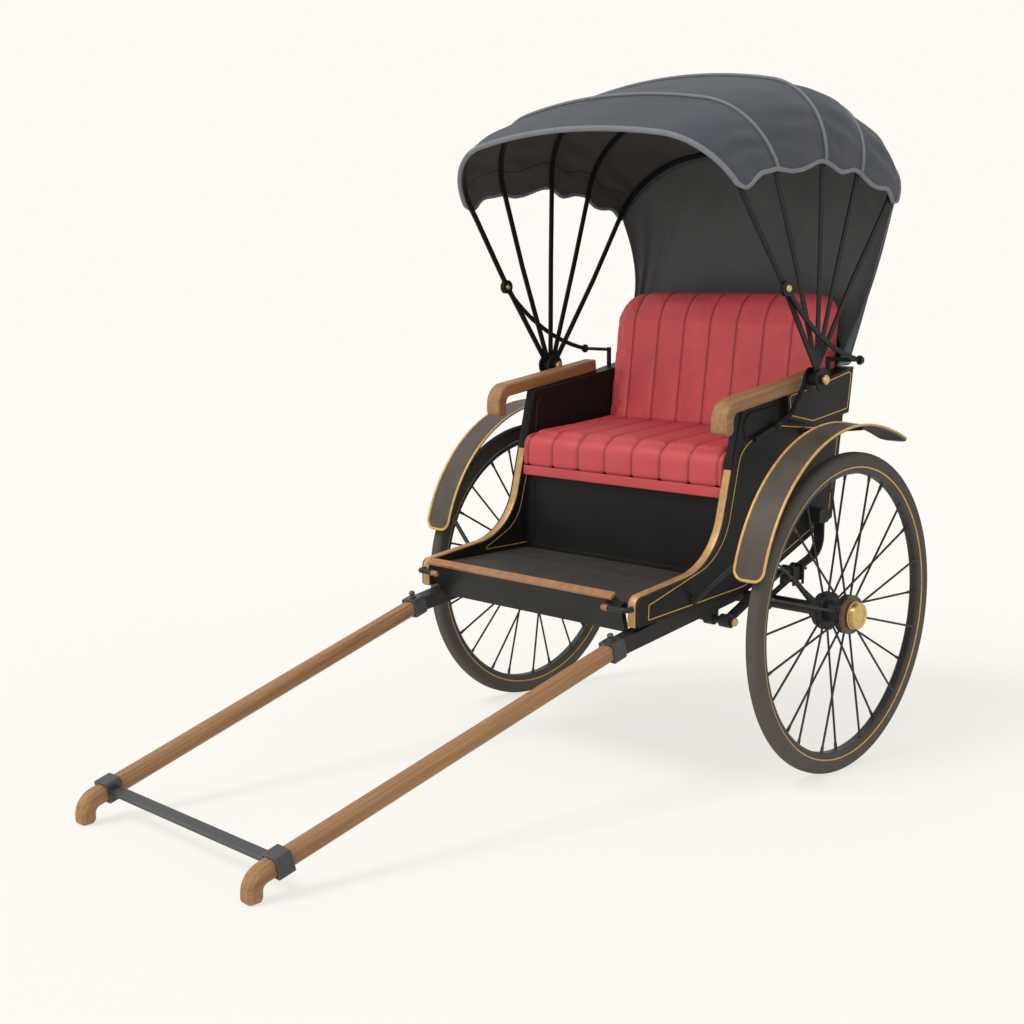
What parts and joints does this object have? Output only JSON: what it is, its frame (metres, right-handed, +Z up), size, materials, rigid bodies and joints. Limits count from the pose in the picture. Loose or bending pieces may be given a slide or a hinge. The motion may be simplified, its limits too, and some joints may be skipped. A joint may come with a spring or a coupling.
{
  "type": "pulled rickshaw",
  "caption": "Pulled rickshaw with wire wheels, a sprung coach body, an upholstered bench, a folding cloth hood, mudguards and long pull shafts joined by a cross bar.",
  "frame": {"origin": "on the road under the middle of the parked carriage's bounding box", "axes": "+X forward along the shafts towards the puller, +Y to the riders' left, +Z up; parked with wheels and shaft tips on the road"},
  "size_m": [2.528, 1.44, 2.1537],
  "materials": {
    "tyre": "matte",
    "black_iron": "satin",
    "rim_paint": "satin",
    "bronze": "satin",
    "brass": "polished",
    "black_lacquer": "gloss",
    "wood": "satin",
    "upholstery": "satin",
    "hood_cloth": "matte",
    "curtain_cloth": "matte",
    "steel": "satin",
    "guard_paint": "satin",
    "copper": "satin"
  },
  "bodies": {
    "carriage": {"armrest_left": "wood", "armrest_right": "wood", "axle": "black_iron", "back_cushion": "upholstery", "back_panel": "black_lacquer", "floor_board": "black_lacquer", "hanger_rod": "black_iron", "hood_iron_left": "black_iron", "hood_iron_right": "black_iron", "hood_rests": "black_iron", "kick_panel": "black_lacquer", "mudguard_irons": "black_iron", "mudguard_left": "guard_paint", "mudguard_right": "guard_paint", "pull_bar": "steel", "quarter_panel_left": "black_lacquer", "quarter_panel_right": "black_lacquer", "rail_left": "black_lacquer", "rail_right": "black_lacquer", "rear_curtain": "curtain_cloth", "seat_board": "black_lacquer", "seat_cushion": "upholstery", "shaft_left": "wood", "shaft_right": "wood", "side_panel_left": "black_lacquer", "side_panel_right": "black_lacquer", "sockets": "steel", "spring_hangers": "black_iron", "spring_left": "black_iron", "spring_right": "black_iron", "spring_saddles": "black_iron", "tail_brackets": "black_iron", "toe_board": "black_lacquer", "toe_cap": "copper", "toe_pegs": "copper", "under_board": "black_lacquer"},
    "wheel_left": {"tyre_left": "tyre", "rim_left": "rim_paint", "spoked_hub_left": "black_iron", "hub_plate_left": "bronze", "hub_cap_left": "brass"},
    "wheel_right": {"tyre_right": "tyre", "rim_right": "rim_paint", "spoked_hub_right": "black_iron", "hub_plate_right": "bronze", "hub_cap_right": "brass"},
    "bow_5": {"bow_5": "black_iron"},
    "bow_4": {"bow_4": "black_iron", "canopy_4": "hood_cloth"},
    "bow_3": {"bow_3": "black_iron", "canopy_3": "hood_cloth"},
    "bow_2": {"bow_2": "black_iron", "canopy_2": "hood_cloth"},
    "bow_1": {"bow_1": "black_iron", "canopy_1": "hood_cloth"},
    "prop_left": {"prop_left": "black_iron"},
    "prop_right": {"prop_right": "black_iron"}
  },
  "joints": [
    {"name": "wheel_left_spin", "type": "hinge", "parent": "carriage", "child": "wheel_left", "pos_m": [-0.76353, 0.658, 0.5], "axis": [0, 1, 0], "continuous": true},
    {"name": "wheel_right_spin", "type": "hinge", "parent": "carriage", "child": "wheel_right", "pos_m": [-0.76353, -0.658, 0.5], "axis": [0, 1, 0], "continuous": true},
    {"name": "hood_fold", "type": "hinge", "parent": "carriage", "child": "bow_5", "pos_m": [-0.70464, 0, 1.21486], "axis": [0, -1, 0], "range_deg": [0, 36], "deforming": ["rear_curtain"]},
    {"name": "bow_4_fold", "type": "hinge", "parent": "bow_5", "child": "bow_4", "pos_m": [-0.70464, 0, 1.21486], "axis": [0, -1, 0], "range_deg": [0, 13.5], "deforming": ["canopy_4"]},
    {"name": "bow_3_fold", "type": "hinge", "parent": "bow_4", "child": "bow_3", "pos_m": [-0.70464, 0, 1.21486], "axis": [0, -1, 0], "range_deg": [0, 14], "deforming": ["canopy_3"]},
    {"name": "bow_2_fold", "type": "hinge", "parent": "bow_3", "child": "bow_2", "pos_m": [-0.70464, 0, 1.21486], "axis": [0, -1, 0], "range_deg": [0, 18], "deforming": ["canopy_2"]},
    {"name": "bow_1_fold", "type": "hinge", "parent": "bow_2", "child": "bow_1", "pos_m": [-0.70464, 0, 1.21486], "axis": [0, -1, 0], "range_deg": [0, 10.75], "deforming": ["canopy_1"]},
    {"name": "prop_left_swing", "type": "hinge", "parent": "carriage", "child": "prop_left", "pos_m": [-0.91456, 0, 1.27734], "axis": [0, -1, 0], "range_deg": [0, 126]},
    {"name": "prop_right_swing", "type": "hinge", "parent": "carriage", "child": "prop_right", "pos_m": [-0.91456, 0, 1.27734], "axis": [0, -1, 0], "range_deg": [0, 126]}
  ],
  "couplings": [
    {"joint": "bow_4_fold", "follows": "hood_fold", "ratio": 0.375},
    {"joint": "bow_3_fold", "follows": "hood_fold", "ratio": 0.38889},
    {"joint": "bow_2_fold", "follows": "hood_fold", "ratio": 0.5},
    {"joint": "bow_1_fold", "follows": "hood_fold", "ratio": 0.29861},
    {"joint": "prop_left_swing", "follows": "hood_fold", "ratio": 3.5},
    {"joint": "prop_right_swing", "follows": "hood_fold", "ratio": 3.5}
  ]
}
